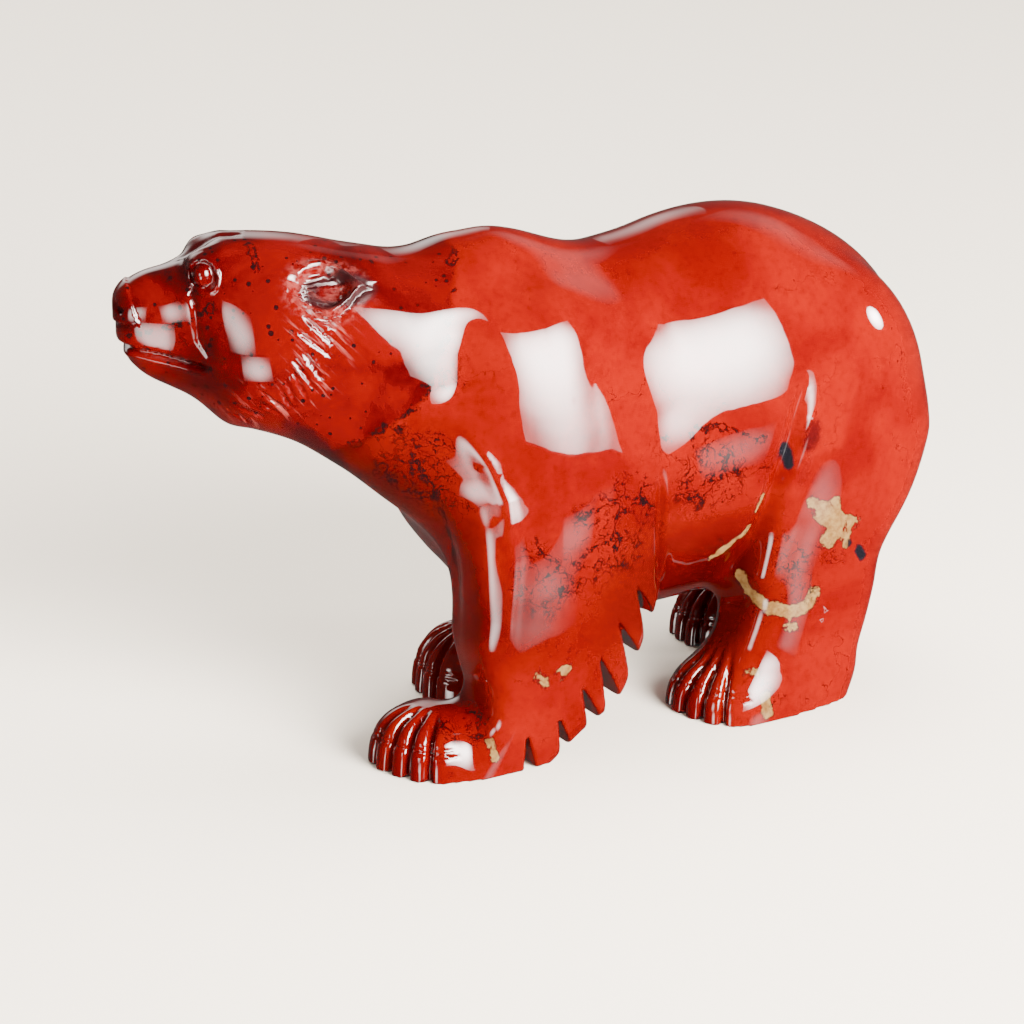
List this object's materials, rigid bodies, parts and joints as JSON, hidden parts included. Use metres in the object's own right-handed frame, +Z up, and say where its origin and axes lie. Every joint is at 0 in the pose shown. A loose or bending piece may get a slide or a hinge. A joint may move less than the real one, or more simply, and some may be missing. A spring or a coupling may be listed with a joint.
{
  "type": "polar bear carving",
  "caption": "Walking polar bear carved in one solid from polished red jasper, head turned a little to its right, combed fur fringe behind the near foreleg.",
  "frame": {"origin": "centre of the bear's footprint box, on the ground under its paws", "axes": "+Z up, -X towards the nose, the bear's left side towards -Y"},
  "size_m": [0.1298, 0.0468, 0.0822],
  "materials": {
    "jasper": "polished"
  },
  "bodies": {
    "root": {"bear": "jasper"}
  },
  "joints": []
}
